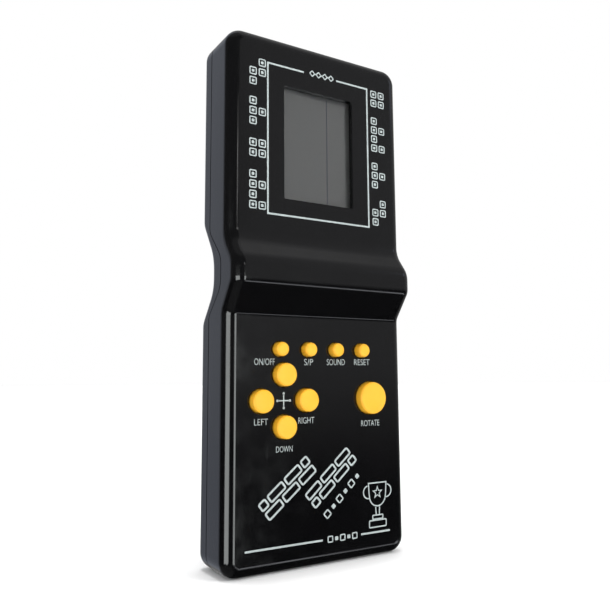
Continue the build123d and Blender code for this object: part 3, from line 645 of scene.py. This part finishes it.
def print_title(material):
    """Three rising bands of brick pattern on the lower panel."""
    layer = Print(KEYPAD_PANEL_Y)
    courses = ((7.6, 7.6, 7.6), (3.5, 7.6, 7.6, 3.5))
    brick_rows(layer, (-20.6, 17.3), 38.7, courses, 3.35, 0.65, 0.68)
    layer.finish("print_bricks_upper", material)
    layer = Print(KEYPAD_PANEL_Y)
    courses = ((3.5, 7.4, 7.4, 3.5), (7.4, 7.4, 7.4))
    brick_rows(layer, (-2.6, 19.4), 40.8, courses, 3.15, 0.65, 0.68)
    layer.finish("print_bricks_middle", material)
    layer = Print(KEYPAD_PANEL_Y)
    turn = math.radians(42.8)
    for index in range(6):
        reach = 1.4 + index * 3.5
        x = 1.3 + reach * math.cos(turn)
        z = 16.4 + reach * math.sin(turn)
        if index % 2:
            layer.prism(rounded_box((x, z), 1.5, 1.5, 0.3, turn))
        else:
            layer.line(rounded_box((x, z), 2.2, 2.2, 0.4, turn), 0.5, closed=True)
    layer.finish("print_bricks_small", material)


def print_trophy(material):
    """Line drawing of a plain two-handled cup."""
    layer = Print(KEYPAD_PANEL_Y)
    x, base, line = 24.2, 10.6, 0.45
    cup = [(x - 4.0, base + 15.6), (x - 3.8, base + 12.0)]
    cup += arc((x, base + 10.9), 3.6, 190, 350, 12)
    cup += [(x + 3.8, base + 12.0), (x + 4.0, base + 15.6)]
    layer.line(cup, line, closed=True)
    for side in (-1, 1):
        start, end = (100, 275) if side < 0 else (80, -95)
        layer.line(arc((x + side * 4.0, base + 12.5), 2.3, start, end, 12), line)
    layer.line([(x - 0.9, base + 7.0), (x - 0.7, base + 4.3)], line)
    layer.line([(x + 0.9, base + 7.0), (x + 0.7, base + 4.3)], line)
    layer.line(rounded_box((x, base + 3.4), 4.6, 1.4, 0.3), line, closed=True)
    layer.line(rounded_box((x, base + 1.1), 7.6, 2.4, 0.4), line, closed=True)
    star = []
    for point in range(10):
        radius = 2.0 if point % 2 == 0 else 0.85
        angle = math.radians(90 + 36 * point)
        star.append((x + radius * math.cos(angle), base + 12.1 + radius * math.sin(angle)))
    layer.line(star, 0.35, closed=True)
    layer.finish("print_trophy", material)


def print_base_line(material):
    """Long line near the lower edge, with a row of small squares in its gap."""
    layer = Print(KEYPAD_PANEL_Y)
    z = 8.7
    layer.line([(-29.7, z), (0.2, z)], 0.65)
    layer.line([(16.6, z), (29.6, z)], 0.65)
    for index in range(5):
        x = 3.4 + index * 2.6
        if index % 2:
            layer.prism(rounded_box((x, z), 1.3, 1.3, 0.2))
        else:
            layer.line(rounded_box((x, z), 1.9, 1.9, 0.3), 0.42, closed=True)
    layer.finish("print_base_line", material)


def lcd_field_line(material):
    """Thin line on the display film, between the playing field and the score strip."""
    layer = Print(FILM_Y)
    layer.line([(4.7, 128.3), (4.7, 168.2)], 0.4)
    piece = layer.finish("lcd_field_line", material)


# ---------------------------------------------------------------- studio

WHITE = (1.0, 1.0, 1.0)
COOL = (0.95, 1.0, 0.99)
# Soft patches of light: compass angles in degrees, sines of their elevation, colour, power and
# the softness of both pairs of edges.
LAMPS = (
    ((-200, 200), (-0.05, 2.0), WHITE, 0.10, (3, 0.10)),                    # dim room
    ((-200, 200), (-1.2, -0.05), WHITE, 0.025, (3, 0.10)),                  # dark table
    ((24, 84), (-0.06, 2.0), (1.0, 1.0, 1.02), 0.26, (3, 0.12)),            # panel, front right
    ((84, 200), (-0.60, 2.0), WHITE, 0.30, (12, 0.10)),                     # right side, behind
    ((-200, -134), (-0.60, 2.0), (0.84, 0.91, 1.08), 0.46, (7, 0.10)),      # cool, behind left
    ((-74, -34), (-0.34, 0.13), COOL, 6.0, (2.5, 0.02)),                    # strip, front left
    ((8, 22), (-0.32, 0.13), COOL, 6.0, (1.5, 0.02)),                       # strip, ahead
    ((8, 15), (0.24, 0.36), WHITE, 3.5, (1.0, 0.03)),                       # small, above it
    ((14, 62), (-0.46, -0.38), (0.95, 0.98, 1.04), 3.0, (3, 0.02)),         # edge of the table
    ((48, 66), (0.38, 0.50), (0.78, 0.86, 1.12), 0.8, (4, 0.05)),           # cool, right, high
    ((-200, 0), (-1.2, -0.45), WHITE, 0.12, (10, 0.1)),                     # table, left
    ((-200, 200), (0.82, 1.2), WHITE, 0.12, (3, 0.06)),                     # ceiling
)
ROOM_LIGHT = 0.85


def studio_world():
    """White surround for the camera, and a dark room with soft lamps for reflections."""
    world = bpy.data.worlds.new("studio")
    bpy.context.scene.world = world
    world.use_nodes = True
    tree = world.node_tree
    tree.nodes.clear()
    link = tree.links.new

    def math_node(operation, *values):
        node = tree.nodes.new("ShaderNodeMath")
        node.operation = operation
        for socket, value in zip(node.inputs, values):
            if isinstance(value, (int, float)):
                socket.default_value = value
            else:
                link(value, socket)
        return node.outputs[0]

    def step(value, low, high):
        node = tree.nodes.new("ShaderNodeMapRange")
        node.interpolation_type = "SMOOTHSTEP"
        link(value, node.inputs["Value"])
        node.inputs["From Min"].default_value = low
        node.inputs["From Max"].default_value = high
        return node.outputs[0]

    place = tree.nodes.new("ShaderNodeTexCoord").outputs["Generated"]
    parts = tree.nodes.new("ShaderNodeSeparateXYZ")
    link(place, parts.inputs[0])
    x, y, height = parts.outputs
    # compass angle in degrees: 0 ahead of the face, 90 to its right, 180 behind
    ahead = math_node("MULTIPLY", y, -1.0)
    turn = math_node("MULTIPLY", math_node("ARCTAN2", x, ahead), 180 / math.pi)

    def window(value, low, high, soft):
        rise = step(value, low - soft, low + soft)
        fall = step(value, high - soft, high + soft)
        return math_node("MULTIPLY", rise, math_node("SUBTRACT", 1.0, fall))

    total = None

    def lamp(turns, heights, colour, power, soft):
        """A soft rectangular patch of light in the surround."""
        nonlocal total
        across = window(turn, turns[0], turns[1], soft[0])
        up = window(height, heights[0], heights[1], soft[1])
        amount = math_node("MULTIPLY", math_node("MULTIPLY", across, up), power)
        tint = tree.nodes.new("ShaderNodeVectorMath")
        tint.operation = "SCALE"
        tint.inputs[0].default_value = colour
        link(amount, tint.inputs["Scale"])
        if total is None:
            total = tint.outputs[0]
        else:
            add = tree.nodes.new("ShaderNodeVectorMath")
            add.operation = "ADD"
            link(total, add.inputs[0])
            link(tint.outputs[0], add.inputs[1])
            total = add.outputs[0]

    for patch in LAMPS:
        lamp(*patch)

    path = tree.nodes.new("ShaderNodeLightPath")
    reflected = tree.nodes.new("ShaderNodeBackground")
    link(total, reflected.inputs["Color"])
    surround = tree.nodes.new("ShaderNodeBackground")
    surround.inputs["Color"].default_value = (1.0, 1.0, 1.0, 1.0)
    surround.inputs["Strength"].default_value = 1.0
    lit = tree.nodes.new("ShaderNodeBackground")
    lit.inputs["Color"].default_value = (1.0, 1.0, 1.0, 1.0)
    lit.inputs["Strength"].default_value = ROOM_LIGHT
    by_diffuse = tree.nodes.new("ShaderNodeMixShader")
    rays = ("Is Diffuse Ray", "Is Transmission Ray")
    scattered = math_node("MAXIMUM", *[path.outputs[ray] for ray in rays])
    link(scattered, by_diffuse.inputs[0])
    link(reflected.outputs[0], by_diffuse.inputs[1])
    link(lit.outputs[0], by_diffuse.inputs[2])
    by_camera = tree.nodes.new("ShaderNodeMixShader")
    link(path.outputs["Is Camera Ray"], by_camera.inputs[0])
    link(by_diffuse.outputs[0], by_camera.inputs[1])
    link(surround.outputs[0], by_camera.inputs[2])
    output = tree.nodes.new("ShaderNodeOutputWorld")
    link(by_camera.outputs[0], output.inputs["Surface"])


def soft_box(name, spot, size, power, colour=(1.0, 1.0, 1.0)):
    """Area lamp aimed at the middle of the object; it lights but isn't mirrored."""
    lamp = bpy.data.lights.new(name, "AREA")
    lamp.shape = "RECTANGLE"
    lamp.size, lamp.size_y = size
    lamp.energy = power
    lamp.color = colour
    holder = bpy.data.objects.new(name, lamp)
    bpy.context.scene.collection.objects.link(holder)
    middle = (SHELL_LOW + SHELL_HIGH) / 2
    aim = (middle - Vector(spot)).normalized()
    holder.rotation_euler = aim.to_track_quat("-Z", "Y").to_euler()
    holder.location = spot
    holder.visible_glossy = False
    holder.visible_transmission = False
    return holder


def studio():
    studio_world()
    soft_box("key_light", (0.75, -0.85, 0.75), (0.5, 0.5), 7.5)
    soft_box("fill_light", (-0.9, -0.6, 0.5), (0.6, 0.6), 2.0, (0.93, 0.96, 1.0))
    # wide lamp that points straight down, so that it whitens the table and not the face
    table = soft_box("table_light", (0.0, 0.0, 1.6), (14.0, 14.0), 320.0)
    table.rotation_euler = (0.0, 0.0, 0.0)
    table.data.spread = math.radians(20)
    shape = bmesh.new()
    bmesh.ops.create_circle(shape, cap_ends=True, segments=96, radius=6.0)
    data = bpy.data.meshes.new("floor")
    shape.to_mesh(data)
    shape.free()
    floor = bpy.data.objects.new("floor", data)
    bpy.context.scene.collection.objects.link(floor)
    floor.location = (0, 0, CAD_BOX[0][2])
    data.materials.append(floor_paper("floor_paper"))
    floor.visible_glossy = False


def camera():
    """Low three-quarter view from the front left, as high as the upper third of the keypad."""
    lens = bpy.data.cameras.new("camera")
    lens.sensor_width = 36.0
    lens.lens = 39.32
    lens.clip_start = 0.01
    holder = bpy.data.objects.new("camera", lens)
    bpy.context.scene.collection.objects.link(holder)
    yaw, pitch, roll = math.radians(31.41), math.radians(6.24), math.radians(0.38)
    level_reach = math.cos(pitch)
    ahead = Vector((math.sin(yaw) * level_reach, math.cos(yaw) * level_reach, math.sin(pitch)))
    level = Vector((math.cos(yaw), -math.sin(yaw), 0))
    down = ahead.cross(level)
    right = math.cos(roll) * level + math.sin(roll) * down
    up = -(math.cos(roll) * down - math.sin(roll) * level)
    turn = Matrix((right, up, -ahead)).transposed().to_4x4()
    spot = Vector((-0.12836, BACK_Y - 0.22086, 0.06455))
    holder.matrix_world = Matrix.Translation(spot) @ turn
    bpy.context.scene.camera = holder


bpy.context.scene.view_settings.view_transform = "Standard"
camera()
studio()
dress_nodes()
silver_ink = ink("ink_silver")
print_display(silver_ink)
print_labels(silver_ink)
print_direction_mark(silver_ink)
print_title(silver_ink)
print_trophy(silver_ink)
print_base_line(silver_ink)
lcd_field_line(ink("ink_navy", (0.020, 0.024, 0.045), (0.015, 0.018, 0.035)))
